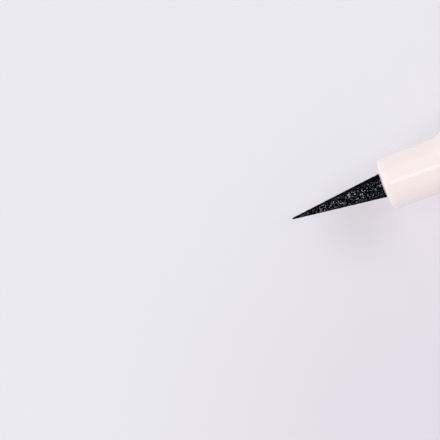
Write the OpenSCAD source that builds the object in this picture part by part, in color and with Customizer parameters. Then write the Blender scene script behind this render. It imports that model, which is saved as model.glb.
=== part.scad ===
// Liquid eyeliner pen with a tapered felt nib and a free ink tank.
// The pen lies on its side and its axis runs along +X, from the nib's point back to the cap.
// The cap is posted on the tail. Z = 0 is the surface that the pen lies on. Sizes are in millimetres.
// A station is a distance back from the nib's point, and a depth is a distance into the cap's mouth.

/* [Nib] */
// Diameter of the nib where it leaves the nozzle, and of the core behind it
nib_d = 2; // [1.8:0.1:2.2]
// Length of nib in front of the nozzle
nib_exposed = 7.8; // [6.5:0.1:9]
// Radius of the nib's point
nib_point_r = 0.07; // [0.04:0.01:0.12]
// Length of nib shank held inside
nib_shank = 14.4; // [13.6:0.1:15]
// Chamfer on the shank's rear edge
nib_chamfer = 0.15; // [0.05:0.05:0.3]

/* [Nozzle] */
// Diameter of the nozzle at its rim
nozzle_d = 4.3; // [3.9:0.05:4.5]
// Length of the nozzle from its rim to the fillet
nozzle_len = 4.9; // [4:0.1:5.5]
// Taper of the nozzle's side, in degrees
nozzle_draft = 0.5; // [0.5:0.5:2.5]
// Rounding of the nozzle's rim
rim_r = 0.24; // [0.12:0.02:0.5]
// Rounding of the nozzle's mouth, where the nib comes out
mouth_r = 0.08; // [0.04:0.02:0.12]
// Radius of the fillet between the nozzle and the shoulder, where the shoulder is high enough
shoulder_fillet_r = 1.4; // [0.8:0.1:1.5]
// Slope of the shoulder from the pen's axis, in degrees
shoulder_slope = 60; // [50:5:70]
// Rounding between the shoulder and the cap seat
shoulder_edge_r = 0.5; // [0.3:0.1:0.7]
// Width of each air groove beside the nib
vent_w = 0.36; // [0.2:0.02:0.5]
// Depth of each air groove beside the nib
vent_depth = 0.2; // [0.1:0.02:0.3]
// Number of air grooves
vent_count = 3; // [2:1:4]

/* [Cap seat and tail] */
// Wall of the front section at the cap seat
seat_wall = 0.85; // [0.75:0.05:0.9]
// Length of the cap seat
seat_len = 12; // [11:0.5:14]
// Length of the tail that the cap is posted on
tail_len = 6.8; // [5:0.1:7]
// Rounding of the tail's end
tail_edge_r = 0.7; // [0.3:0.1:1]
// Wall of the tail and thickness of its end
tail_wall = 1; // [0.8:0.1:1.3]
// Diameter of the moulding gate's dimple in the tail's end
gate_d = 1.2; // [0.8:0.1:1.6]
// Depth of that dimple
gate_depth = 0.15; // [0.1:0.01:0.2]
// Height of the snap bead
bead_height = 0.06; // [0.03:0.01:0.08]
// Length of the snap bead along the axis
bead_len = 0.8; // [0.5:0.1:1]
// Distance of the snap bead from the collar
bead_offset = 2.6; // [2:0.1:3.5]

/* [Barrel] */
// Outside diameter of the barrel and of the cap
barrel_d = 10.4; // [10.2:0.1:11]
// Length of the barrel
barrel_len = 84; // [78:1:95]
// Wall of the barrel
barrel_wall = 0.8; // [0.7:0.05:0.9]
// Length of the collar at each end of the barrel
collar_len = 1; // [0.8:0.1:1.5]
// How far the collars lie below the barrel's surface
collar_step = 0.2; // [0.16:0.01:0.3]
// Rounding of the outside edges of the barrel, collars and cap
edge_r = 0.16; // [0.1:0.02:0.25]
// Fillet at the foot of the cap seat and of the tail
foot_r = 0.15; // [0.1:0.05:0.25]
// Length of the front section's spigot inside the barrel
spigot_len = 10; // [9:0.5:12]
// Length of the tail plug's spigot inside the barrel
tail_spigot_len = 4.4; // [3.5:0.1:6]
// Chamfer that leads a spigot, a plug or the tank in
lead_in = 0.3; // [0.2:0.05:0.4]

/* [Ink feed] */
// Length of nozzle bore that grips the nib
grip_len = 5.4; // [5:0.1:5.8]
// Outside diameter of the nib collar
nib_collar_d = 3.56; // [3.3:0.02:3.7]
// Length of the nib collar in front of its flange
nib_collar_len = 3.2; // [2.5:0.1:3.5]
// Thickness of the nib collar's flange
nib_flange_len = 0.8; // [0.6:0.1:1]
// Length of the overflow sponge
sponge_len = 3; // [2.5:0.1:3.2]
// Rounding of the sponge's edges
sponge_edge = 0.2; // [0.1:0.05:0.3]
// Depth of the front section's narrow bore inside the barrel
front_bore_depth = 3; // [2.4:0.1:4]
// Length of relay core that stands in the ink
relay_dip = 1.5; // [1:0.1:2.5]
// Outside diameter of the collector's centre tube
centre_tube_d = 3.2; // [3:0.1:3.4]
// Thickness of a collector fin
fin_t = 0.34; // [0.25:0.01:0.4]
// Distance from one collector fin to the next
fin_pitch = 0.72; // [0.65:0.01:0.8]
// Number of large fins on the collector
large_fins = 28; // [20:1:34]
// Width of the collector's ink slit
slit_w = 0.2; // [0.15:0.01:0.3]
// Width of the collector's air channel
air_w = 0.8; // [0.5:0.05:1.2]
// Thickness of the collector's locating flange
flange_t = 1; // [0.8:0.1:1.2]
// Thickness of the collector's rear flange
rear_flange_t = 1.6; // [1.5:0.1:2]
// Length of the collector's dip tube
dip_tube_len = 3.4; // [2.5:0.1:5]

/* [Tank] */
// Wall of the ink tank
tank_wall = 0.75; // [0.6:0.05:0.8]
// Length of tank plug inside the tank
plug_len = 4.6; // [4:0.1:6]
// Thickness of the tank plug's flange
plug_flange_t = 1; // [0.8:0.1:1.5]
// Wall of the tank plug at its recess
plug_wall = 1.2; // [1:0.1:1.5]
// Diameter of the mixing ball
ball_d = 4; // [3:0.1:4.4]
// Distance from the relay core back to the mixing ball
ball_gap = 2.2; // [0.5:0.1:4]

/* [Seals] */
// Thickness of the ring that seals the barrel's mouth
front_seal_t = 0.6; // [0.5:0.02:0.64]
// Thickness of the rings that seal the tank
tank_seal_t = 0.56; // [0.4:0.02:0.6]
// Distance from the barrel's mouth to the middle of its seal
front_seal_offset = 1.4; // [1.1:0.1:1.8]

/* [Cap] */
// Wall of the cap shell
cap_wall = 0.65; // [0.55:0.01:0.7]
// Wall of the snap sleeve
sleeve_wall = 0.59; // [0.5:0.01:0.65]
// Depth of the snap sleeve's front edge
sleeve_recess = 0.6; // [0.3:0.1:1]
// Thickness of the sleeve's retaining lip
lip_t = 0.8; // [0.6:0.1:1]
// Height of the flange that guides the inner cap in the sleeve
inner_flange_h = 0.44; // [0.3:0.01:0.44]
// Wall of the inner cap's tube
inner_cap_wall = 0.49; // [0.4:0.01:0.5]
// Thickness of the inner cap's flange and of its end
inner_cap_t = 0.8; // [0.6:0.1:1]
// Thickness of the seal on the inner cap's mouth
mouth_seal_t = 0.8; // [0.6:0.1:1]
// How far that seal stands in front of the lip
mouth_seal_proud = 0.2; // [0.1:0.05:0.3]
// How far the nozzle pushes the inner cap back when the cap is on
closing_push = 1.5; // [1:0.1:1.8]
// Free length in front of the nib's point when the cap is on
point_room = 1.3; // [0.8:0.1:2.5]
// Length of the cap spring as fitted
spring_len = 4.7; // [4.4:0.1:6]
// Mean diameter of the cap spring
spring_d = 5; // [4.6:0.1:5.6]
// Thickness of the spring wire
wire_d = 0.45; // [0.3:0.05:0.5]
// Number of turns of the cap spring
spring_turns = 4; // [3:1:4]
// Height of the bosses that centre the spring
boss_len = 1; // [0.6:0.1:1.1]
// Thickness of the crown's end
crown_t = 1.3; // [1.1:0.1:1.8]
// Rounding of the crown's edge
crown_edge_r = 0.6; // [0.3:0.1:0.8]
// How far the inner cap can move back, until it meets the crown's spigot
inner_cap_travel = 2; // [1.8:0.1:2.5]
// Wall of the crown's spigot
crown_spigot_wall = 0.9; // [0.7:0.1:1]

/* [Clearances] */
// Radial clearance of pieces that are pressed together
snug = 0.02; // [0.01:0.01:0.03]
// Radial clearance of the collector and the tank in what holds them
loose = 0.05; // [0.03:0.01:0.06]
// Radial clearance of the cap's sleeve on its seat
cap_slide = 0.09; // [0.085:0.005:0.12]
// Radial clearance of the inner cap in the sleeve
inner_slide = 0.06; // [0.04:0.01:0.08]
// Radial clearance of the spring round its bosses
boss_slide = 0.2; // [0.15:0.05:0.3]
// Gap between the cap's mouth and the rear collar
cap_gap = 0.05; // [0.02:0.01:0.1]
// Clearance under the mixing ball
ball_slide = 0.03; // [0.02:0.01:0.05]

/* [Hidden] */
over = 1;                // how far a cut runs past what it cuts
arc_steps = 8;           // straight steps in each rounded corner
round_fn = 96;           // facets of a turned piece when it is drawn on screen
rings_per_turn = 8;      // rings of points in one turn of the spring
wire_sides = 6;          // sides of the spring wire

// Radii, worked out from the diameters and walls above
nib_r = nib_d / 2;
nozzle_r = nozzle_d / 2;
body_r = barrel_d / 2;
collar_r = body_r - collar_step;
nib_bore_r = nib_r + snug;
barrel_bore_r = body_r - barrel_wall;
spigot_r = barrel_bore_r - snug;
tank_r = barrel_bore_r - loose;
tank_bore_r = tank_r - tank_wall;
large_fin_r = tank_bore_r - loose;
shell_bore_r = body_r - cap_wall;
sleeve_r = shell_bore_r - snug;
sleeve_bore_r = sleeve_r - sleeve_wall;
seat_r = sleeve_bore_r - cap_slide;
front_bore_r = seat_r - seat_wall;
small_fin_r = front_bore_r - loose;
centre_tube_r = centre_tube_d / 2;
inner_flange_r = sleeve_bore_r - inner_slide;
inner_cap_r = inner_flange_r - inner_flange_h;
inner_cap_bore_r = inner_cap_r - inner_cap_wall;
spring_r = spring_d / 2;
boss_r = spring_r - wire_d / 2 - boss_slide;

// The shoulder's outline: the fillet leaves the nozzle, a cone follows, and an edge leads to the seat
fillet_start_r = nozzle_r + nozzle_len * tan(nozzle_draft);
cone_end_r = seat_r - shoulder_edge_r * (1 - cos(shoulder_slope));
fillet_most_share = 0.9;
fillet_turn = cos(nozzle_draft) - cos(shoulder_slope);
fillet_r = min(shoulder_fillet_r, fillet_most_share * (cone_end_r - fillet_start_r) / fillet_turn);
cone_start_r = fillet_start_r + fillet_r * fillet_turn;

// Stations of the pen
rim_at = nib_exposed;
fillet_at = rim_at + nozzle_len;
cone_at = fillet_at + fillet_r * (sin(shoulder_slope) - sin(nozzle_draft));
cone_end_at = cone_at + (cone_end_r - cone_start_r) / tan(shoulder_slope);
seat_at = cone_end_at + shoulder_edge_r * sin(shoulder_slope);
collar_at = seat_at + seat_len;
barrel_at = collar_at + collar_len;
spigot_end = barrel_at + spigot_len;
nib_collar_at = rim_at + grip_len;
nib_flange_at = nib_collar_at + nib_collar_len;
sponge_at = nib_flange_at + nib_flange_len;
collector_at = sponge_at + sponge_len;
wide_bore_at = barrel_at + front_bore_depth;
large_fins_at = wide_bore_at + flange_t;
rear_flange_at = large_fins_at + (large_fins + 1) * fin_pitch - fin_t;
dip_tube_at = rear_flange_at + rear_flange_t;
dip_tube_end = dip_tube_at + dip_tube_len;
nib_end = rim_at + nib_shank;
relay_end = dip_tube_end + relay_dip;
ball_at = relay_end + ball_d / 2 + ball_gap;
barrel_end = barrel_at + barrel_len;
tail_spigot_at = barrel_end - tail_spigot_len;
plug_flange_at = tail_spigot_at - plug_flange_t;
plug_at = plug_flange_at - plug_len;
tail_at = barrel_end + collar_len;
tail_end = tail_at + tail_len;
cap_at = tail_at + cap_gap;

// Depths in the cap, from its mouth
seal_contact_at = cone_at + (inner_cap_bore_r - cone_start_r) / tan(shoulder_slope);
mouth_seal_depth = collar_at - seal_contact_at - closing_push;
lip_depth = mouth_seal_depth + mouth_seal_proud;
inner_cap_depth = mouth_seal_depth + mouth_seal_t;
inner_floor_depth = mouth_seal_depth + seal_contact_at + point_room;
inner_end_depth = inner_floor_depth + inner_cap_t;
crown_depth = inner_end_depth + spring_len;
sleeve_end_depth = inner_end_depth + inner_cap_travel;
cap_len = crown_depth + crown_t;
total_len = cap_at + cap_len;

// The spring's centre line as [radial, radial, station] points, and its least gap to itself
spring_steps = spring_turns * rings_per_turn;
spring_start = cap_at + inner_end_depth + wire_d / 2 + snug;
spring_rise = spring_len - wire_d - 2 * snug;
spring_line = [
    for (i = [0 : spring_steps]) let (turn = 360 * i / rings_per_turn)
        [spring_r * cos(turn), spring_r * sin(turn), spring_start + spring_rise * i / spring_steps]
];
spring_least_gap = min([
    for (i = [0 : spring_steps]) for (j = [i + rings_per_turn / 2 : 1 : spring_steps])
        norm(spring_line[i] - spring_line[j])
]) - wire_d;
echo(spring_least_gap = spring_least_gap);

// Points of a round stretch about [r, s], from angle a to angle b
function arc(r, s, radius, a, b) =
    [for (i = [0 : arc_steps]) let (t = a + (b - a) * i / arc_steps)
        [r + radius * cos(t), s + radius * sin(t)]];

// Turns an outline of [radius, station] points about the pen's axis, in the pen's place
module turned(outline) {
    on_axis() rotate_extrude($fn = round_fn) polygon(outline);
}

// Takes a shape drawn along +Z onto the pen's axis
module on_axis() {
    translate([-total_len / 2, 0, body_r]) rotate([0, 90, 0]) children();
}

// A plain ring of round section, lying in a groove
module seal_ring(outer_r, thickness, at) {
    on_axis() translate([0, 0, at])
        rotate_extrude($fn = round_fn) translate([outer_r - thickness / 2, 0])
            circle(thickness / 2, $fn = round_fn / 4);
}

// Radius of the floor of a seal's groove in a side of radius side_r
function seal_floor(side_r, thickness) = side_r - thickness - snug / 2;

// Outline points of a rectangular groove cut into a side of radius side_r, middle at the given station
function groove(side_r, floor_r, middle, width) =
    [[side_r, middle - width / 2], [floor_r, middle - width / 2],
     [floor_r, middle + width / 2], [side_r, middle + width / 2]];

// Outline points of the snap bead on the seat or the tail, starting at the given station
function bead(at) = [
    [seat_r, at], [seat_r + bead_height, at + bead_len / 3],
    [seat_r + bead_height, at + 2 * bead_len / 3], [seat_r, at + bead_len]
];

// Felt nib: a round point, a straight cone and the shank that the nozzle grips
module nib() {
    reach = nib_exposed - nib_point_r;
    half_angle = atan2(nib_r, reach) - asin(nib_point_r / norm([nib_r, reach]));
    color("black") turned(concat(
        arc(0, nib_point_r, nib_point_r, -90, -half_angle),
        [[nib_r, rim_at], [nib_r, nib_end - nib_chamfer], [nib_r - nib_chamfer, nib_end], [0, nib_end]]
    ));
}

// Flanged bush behind the nozzle bore, which holds the shank straight
module nib_collar() {
    flange_r = small_fin_r;
    outer_r = nib_collar_d / 2;
    color("whitesmoke") turned([
        [nib_bore_r, nib_collar_at], [outer_r - nib_chamfer, nib_collar_at],
        [outer_r, nib_collar_at + nib_chamfer], [outer_r, nib_flange_at],
        [flange_r, nib_flange_at], [flange_r, sponge_at], [nib_bore_r, sponge_at]
    ]);
}

// Felt ring that soaks up ink which runs past the collector
module overflow_sponge() {
    outer_r = small_fin_r;
    color("lightgray") turned([
        [nib_bore_r, sponge_at], [outer_r - sponge_edge, sponge_at],
        [outer_r, sponge_at + sponge_edge], [outer_r, collector_at - sponge_edge],
        [outer_r - sponge_edge, collector_at], [nib_bore_r, collector_at]
    ]);
}

// Nozzle, shoulder, cap seat, collar and spigot in one moulding
module front_section() {
    rim_centre_r = nozzle_r + rim_r * tan(nozzle_draft) - rim_r / cos(nozzle_draft);
    seal_floor_r = seal_floor(spigot_r, front_seal_t);
    nib_collar_bore_r = nib_collar_d / 2 + snug;
    color("linen") difference() {
        turned(concat(
            arc(nib_bore_r + mouth_r, rim_at + mouth_r, mouth_r, 180, 270),
            arc(rim_centre_r, rim_at + rim_r, rim_r, -90, -nozzle_draft),
            arc(fillet_start_r + fillet_r * cos(nozzle_draft), fillet_at - fillet_r * sin(nozzle_draft),
                fillet_r, 180 - nozzle_draft, 180 - shoulder_slope),
            arc(seat_r - shoulder_edge_r, seat_at, shoulder_edge_r, -shoulder_slope, 0),
            bead(collar_at - bead_offset - bead_len),
            arc(seat_r + foot_r, collar_at - foot_r, foot_r, 180, 90),
            arc(collar_r - edge_r, collar_at + edge_r, edge_r, -90, 0),
            [[collar_r, barrel_at], [spigot_r, barrel_at]],
            groove(spigot_r, seal_floor_r, barrel_at + front_seal_offset, front_seal_t + lead_in),
            [[spigot_r, spigot_end - lead_in], [spigot_r - lead_in, spigot_end],
             [tank_bore_r, spigot_end], [tank_bore_r, wide_bore_at], [front_bore_r, wide_bore_at],
             [front_bore_r, nib_flange_at], [nib_collar_bore_r, nib_flange_at],
             [nib_collar_bore_r, nib_collar_at], [nib_bore_r, nib_collar_at]]
        ));
        for (i = [0 : vent_count - 1])
            on_axis() rotate([0, 0, 360 * i / vent_count])
                translate([0, -vent_w / 2, rim_at - over])
                    cube([nib_bore_r + vent_depth, vent_w, grip_len + over]);
    }
}

// Finned ink regulator with its locating flange, rear flange and dip tube
module collector() {
    bore_r = nib_bore_r;
    small_fins = floor((wide_bore_at - collector_at) / fin_pitch);
    seal_floor_r = seal_floor(large_fin_r, tank_seal_t);
    color("gainsboro") difference() {
        turned(concat(
            [[bore_r, collector_at]],
            [for (i = [0 : small_fins - 1]) let (at = collector_at + i * fin_pitch)
                each [[small_fin_r, at], [small_fin_r, at + fin_t],
                      [centre_tube_r, at + fin_t], [centre_tube_r, at + fin_pitch]]],
            [[centre_tube_r, wide_bore_at], [large_fin_r, wide_bore_at], [large_fin_r, large_fins_at]],
            [for (i = [0 : large_fins - 1]) let (at = large_fins_at + i * fin_pitch)
                each [[centre_tube_r, at], [centre_tube_r, at + fin_pitch - fin_t],
                      [large_fin_r, at + fin_pitch - fin_t], [large_fin_r, at + fin_pitch]]],
            [[centre_tube_r, rear_flange_at], [large_fin_r, rear_flange_at]],
            groove(large_fin_r, seal_floor_r, rear_flange_at + rear_flange_t / 2, tank_seal_t + lead_in),
            [[large_fin_r, dip_tube_at], [centre_tube_r, dip_tube_at],
             [centre_tube_r, dip_tube_end], [bore_r, dip_tube_end]]
        ));
        on_axis() translate([-large_fin_r - over, -slit_w / 2, collector_at - over])
            cube([large_fin_r + over, slit_w, rear_flange_at - collector_at + over]);
        on_axis() translate([centre_tube_r, -air_w / 2, collector_at - over])
            cube([large_fin_r, air_w, rear_flange_at - collector_at + over]);
    }
}

// Fibre rod that carries ink from the tank to the nib
module relay_core() {
    color("dimgray") turned([
        [0, nib_end], [nib_r - nib_chamfer, nib_end], [nib_r, nib_end + nib_chamfer],
        [nib_r, relay_end - nib_chamfer], [nib_r - nib_chamfer, relay_end], [0, relay_end]
    ]);
}

// Ring on the collector's rear flange
module collector_seal() {
    color("dimgray") seal_ring(large_fin_r, tank_seal_t, rear_flange_at + rear_flange_t / 2);
}

// Ring on the front section's spigot, just inside the barrel's mouth
module front_seal() {
    color("dimgray") seal_ring(spigot_r, front_seal_t, barrel_at + front_seal_offset);
}

// Outer tube that the hand holds
module barrel() {
    color("linen") turned(concat(
        [[barrel_bore_r, barrel_at]],
        arc(body_r - edge_r, barrel_at + edge_r, edge_r, -90, 0),
        arc(body_r - edge_r, barrel_end - edge_r, edge_r, 0, 90),
        [[barrel_bore_r, barrel_end]]
    ));
}

// Tube that holds the ink, between the front section and the tail plug
module ink_tank() {
    color("lavender") turned([
        [tank_bore_r, spigot_end], [tank_r - lead_in, spigot_end], [tank_r, spigot_end + lead_in],
        [tank_r, plug_flange_at], [tank_bore_r, plug_flange_at]
    ]);
}

// Stopper that closes the tank, hollow from behind
module tank_plug() {
    plug_r = tank_bore_r - snug;
    seal_floor_r = seal_floor(plug_r, tank_seal_t);
    recess_r = seal_floor_r - plug_wall;
    color("whitesmoke") turned(concat(
        [[0, plug_at], [plug_r - lead_in, plug_at], [plug_r, plug_at + lead_in]],
        groove(plug_r, seal_floor_r, plug_at + plug_len / 2, tank_seal_t + lead_in),
        [[plug_r, plug_flange_at], [tank_r, plug_flange_at], [tank_r, tail_spigot_at],
         [recess_r, tail_spigot_at], [recess_r, plug_at + plug_wall], [0, plug_at + plug_wall]]
    ));
}

// Ring on the tank plug
module tank_plug_seal() {
    color("dimgray") seal_ring(tank_bore_r - snug, tank_seal_t, plug_at + plug_len / 2);
}

// Rear collar and tail, with a spigot in the barrel; the tail is hollow from the front
module tail_plug() {
    bore_r = seat_r - tail_wall;
    gate_r = gate_d / 2;
    color("linen") turned(concat(
        [[bore_r, tail_spigot_at], [spigot_r - lead_in, tail_spigot_at],
         [spigot_r, tail_spigot_at + lead_in], [spigot_r, barrel_end], [collar_r, barrel_end]],
        arc(collar_r - edge_r, tail_at - edge_r, edge_r, 0, 90),
        arc(seat_r + foot_r, tail_at + foot_r, foot_r, 270, 180),
        bead(tail_at + bead_offset),
        arc(seat_r - tail_edge_r, tail_end - tail_edge_r, tail_edge_r, 0, 90),
        [[gate_r, tail_end], [gate_r - gate_depth, tail_end - gate_depth], [0, tail_end - gate_depth],
         [0, tail_end - tail_wall], [bore_r, tail_end - tail_wall]]
    ));
}

// Steel ball that stirs the ink, lying on the tank's lower wall
module mixing_ball() {
    drop = tank_bore_r - ball_d / 2 - ball_slide;
    color("silver") on_axis() translate([drop, 0, ball_at]) sphere(ball_d / 2, $fn = round_fn);
}

// Outer tube of the cap
module cap_shell() {
    crown_at = cap_at + crown_depth;
    color("linen") turned(concat(
        arc(shell_bore_r + edge_r, cap_at + edge_r, edge_r, 180, 270),
        arc(body_r - edge_r, cap_at + edge_r, edge_r, -90, 0),
        arc(body_r - edge_r, crown_at - edge_r, edge_r, 0, 90),
        [[shell_bore_r, crown_at]]
    ));
}

// Liner that snaps over the seat or the tail, with a lip that keeps the inner cap in
module cap_sleeve() {
    front = cap_at + sleeve_recess;
    lip_at = cap_at + lip_depth;
    groove_at = cap_at + bead_offset - cap_gap;
    rear = cap_at + sleeve_end_depth;
    groove_r = sleeve_bore_r + bead_height;
    lip_r = inner_cap_r + inner_slide;
    color("snow") turned([
        [sleeve_bore_r + lead_in, front], [sleeve_r, front], [sleeve_r, rear], [sleeve_bore_r, rear],
        [sleeve_bore_r, lip_at + lip_t], [lip_r, lip_at + lip_t], [lip_r, lip_at], [sleeve_bore_r, lip_at],
        [sleeve_bore_r, groove_at + bead_len], [groove_r, groove_at + 2 * bead_len / 3],
        [groove_r, groove_at + bead_len / 3], [sleeve_bore_r, groove_at],
        [sleeve_bore_r, front + lead_in]
    ]);
}

// Closed end of the cap, with a spigot in the shell and a boss for the spring
module cap_crown() {
    inside = cap_at + crown_depth;
    spigot_at = cap_at + sleeve_end_depth;
    spigot_outer_r = shell_bore_r - snug;
    spigot_inner_r = spigot_outer_r - crown_spigot_wall;
    color("linen") turned(concat(
        [[0, inside - boss_len], [boss_r, inside - boss_len], [boss_r, inside],
         [spigot_inner_r, inside], [spigot_inner_r, spigot_at], [spigot_outer_r, spigot_at],
         [spigot_outer_r, inside]],
        arc(body_r - edge_r, inside + edge_r, edge_r, -90, 0),
        arc(body_r - crown_edge_r, total_len - crown_edge_r, crown_edge_r, 0, 90),
        [[0, total_len]]
    ));
}

// Coil spring behind the inner cap
module cap_spring() {
    lead = spring_rise / spring_steps;
    step = 2 * spring_r * sin(180 / rings_per_turn);
    pitch_angle = atan2(lead, step);
    points = [
        for (i = [0 : spring_steps]) for (k = [0 : wire_sides - 1])
            let (turn = 360 * i / rings_per_turn, side = 360 * k / wire_sides,
                 out = wire_d / 2 * cos(side), along = wire_d / 2 * sin(side))
            spring_line[i] + [
                out * cos(turn) + along * sin(pitch_angle) * sin(turn),
                out * sin(turn) - along * sin(pitch_angle) * cos(turn),
                along * cos(pitch_angle)
            ]
    ];
    last = spring_steps * wire_sides;
    side_faces = [
        for (i = [0 : spring_steps - 1]) for (k = [0 : wire_sides - 1])
            let (a = i * wire_sides + k, b = i * wire_sides + (k + 1) % wire_sides)
            each [[a, b, b + wire_sides], [a, b + wire_sides, a + wire_sides]]
    ];
    end_faces = [
        for (k = [1 : wire_sides - 2])
            each [[0, k + 1, k], [last, last + k, last + k + 1]]
    ];
    color("silver") on_axis() polyhedron(points, concat(side_faces, end_faces));
}

// Cup that closes over the nozzle and keeps the nib moist
module inner_cap() {
    mouth = cap_at + inner_cap_depth;
    flange_at = cap_at + lip_depth + lip_t;
    floor_at = cap_at + inner_floor_depth;
    end_at = cap_at + inner_end_depth;
    color("white") turned([
        [inner_cap_bore_r, mouth], [inner_cap_r, mouth], [inner_cap_r, flange_at],
        [inner_flange_r, flange_at], [inner_flange_r, flange_at + inner_cap_t],
        [inner_cap_r, flange_at + inner_cap_t], [inner_cap_r, floor_at], [inner_flange_r, floor_at],
        [inner_flange_r, end_at], [boss_r, end_at], [boss_r, end_at + boss_len],
        [0, end_at + boss_len], [0, floor_at], [inner_cap_bore_r, floor_at]
    ]);
}

// Soft ring on the inner cap's mouth, which seals on the pen's shoulder
module inner_cap_seal() {
    front = cap_at + mouth_seal_depth;
    round_edge = inner_cap_wall / 4;
    color("gray") turned(concat(
        arc(inner_cap_bore_r + round_edge, front + round_edge, round_edge, 180, 270),
        arc(inner_cap_r - round_edge, front + round_edge, round_edge, -90, 0),
        [[inner_cap_r, front + mouth_seal_t], [inner_cap_bore_r, front + mouth_seal_t]]
    ));
}

nib();
nib_collar();
front_section();
overflow_sponge();
collector();
relay_core();
collector_seal();
front_seal();
barrel();
ink_tank();
tank_plug();
tank_plug_seal();
tail_plug();
mixing_ball();
cap_shell();
cap_sleeve();
cap_crown();
cap_spring();
inner_cap();
inner_cap_seal();
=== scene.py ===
"""Liquid eyeliner pen on a pale floor: its visible pieces, their finishes, the lamps and the camera."""

import math

import bpy
from mathutils import Matrix, Vector


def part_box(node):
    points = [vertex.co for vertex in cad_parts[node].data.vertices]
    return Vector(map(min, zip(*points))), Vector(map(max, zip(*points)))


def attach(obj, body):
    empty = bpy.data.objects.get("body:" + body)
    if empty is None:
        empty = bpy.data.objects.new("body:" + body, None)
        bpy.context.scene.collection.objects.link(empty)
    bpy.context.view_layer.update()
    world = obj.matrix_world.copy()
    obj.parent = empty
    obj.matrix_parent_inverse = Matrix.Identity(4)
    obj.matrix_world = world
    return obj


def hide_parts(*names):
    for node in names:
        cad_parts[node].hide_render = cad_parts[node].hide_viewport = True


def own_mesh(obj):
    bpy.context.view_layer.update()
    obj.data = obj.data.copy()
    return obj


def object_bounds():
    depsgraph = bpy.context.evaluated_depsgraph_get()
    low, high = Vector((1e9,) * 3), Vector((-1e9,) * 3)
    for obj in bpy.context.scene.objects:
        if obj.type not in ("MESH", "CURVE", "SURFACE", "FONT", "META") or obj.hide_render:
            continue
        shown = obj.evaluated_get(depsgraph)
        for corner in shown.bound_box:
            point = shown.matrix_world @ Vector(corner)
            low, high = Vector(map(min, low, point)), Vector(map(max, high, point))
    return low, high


bl_info = {
    "name": "Liquid Eyeliner Pen",
    "version": (1, 0, 0),
    "blender": (4, 5, 0),
    "location": "View3D > Sidebar > Eyeliner Pen",
    "description": "Models a liquid eyeliner pen piece by piece round its packed frame",
    "category": "Object",
}

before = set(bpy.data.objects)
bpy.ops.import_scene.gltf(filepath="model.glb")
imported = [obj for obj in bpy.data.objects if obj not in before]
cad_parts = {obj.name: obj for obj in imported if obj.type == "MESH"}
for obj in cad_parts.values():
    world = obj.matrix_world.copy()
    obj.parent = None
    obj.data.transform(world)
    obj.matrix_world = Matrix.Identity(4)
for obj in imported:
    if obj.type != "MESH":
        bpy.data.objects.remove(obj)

MM = 0.001
CAD_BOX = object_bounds()
NIB_POINT_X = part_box("nib")[0].x
AXIS_Z = CAD_BOX[1].z / 2

SIDES = 128  # facets round a turned piece
NIB_SIDES = 160  # facets round the nib, whose grain needs more
CORNER_STEPS = 10  # straight steps in a round corner
HOLD = 0.12 * MM  # distance of a supporting ring from a corner
WELD = 0.0002 * MM  # points nearer than this are one point
SMOOTH_ANGLE = math.radians(32)

BODY_R = AXIS_Z  # outside radius of the barrel and the cap, which rest on the floor
FIT_GAP = 0.02 * MM  # gap between pieces that are pressed together
BEAD_EASE = 0.55  # share of the bead's height at the middle of its slopes
RING_LEDGE = 0.2 * MM  # from the front of the inner cap's ring to the sleeve's lip
BOSS_EDGE = 0.15 * MM  # rounding of the bosses that stand in the spring
BOSS_GAP = 0.2 * MM  # gap between such a boss and the spring

PHOTO_WIDTH_PX = 440  # side of the photo's square frame
PHOTO_SCALE_PX = 12.42  # photo pixels to a millimetre at the nib's point
POINT_RIGHT_PX = 72.5  # nib's point, right of the frame's middle
POINT_UP_PX = 1.25  # nib's point, above the frame's middle


# Kinds of setting


def length(name, description, default):
    """A length, whose default is given in millimetres."""
    return bpy.props.FloatProperty(
        name=name, description=description, default=default * MM, unit="LENGTH", precision=6)


def angle(name, description, default):
    """An angle, whose default is given in degrees."""
    return bpy.props.FloatProperty(
        name=name, description=description, default=math.radians(default), unit="ROTATION", subtype="ANGLE")


def colour(name, description, default):
    """A colour, whose default is given in linear red, green and blue."""
    return bpy.props.FloatVectorProperty(
        name=name, description=description, default=default, subtype="COLOR", size=3, min=0, max=1)


def amount(name, description, default, **limits):
    """A plain number, with its limits or its unit where it has any."""
    return bpy.props.FloatProperty(name=name, description=description, default=default, **limits)


# Settings that a user would change


class EyelinerNibSettings(bpy.types.PropertyGroup):
    """Sizes and colours of the felt nib."""
    exposed: length("Exposed Length", "Nib in front of the nozzle", 7.8)
    diameter: length("Diameter", "Nib where it leaves the nozzle", 2)
    point_radius: length("Point Radius", "Rounding of the nib's point", 0.07)
    shank: length("Shank Length", "Nib held inside the nozzle", 14.4)
    chamfer: length("Shank Chamfer", "Chamfer on the shank's rear edge", 0.15)
    grain_depth: length("Grain Depth", "Depth of the felt's grain", 0.026)
    grain_pitch: length("Grain Pitch", "Distance between the felt's lumps", 0.17)
    # Side of the nib, with the side opposite, on which pale glints are painted into the felt's colour
    painted_glint_side: angle("Drained Side", "Side of the nib that the ink has left, like the side opposite", 122)
    ink: colour("Ink Colour", "Colour of the wet felt", (0.0008, 0.0007, 0.0016))
    # Colour of the glints painted on the felt
    painted_glint: colour("Glint Colour", "Colour of the fibres that stand out of the ink", (0.92, 0.92, 0.97))


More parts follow.
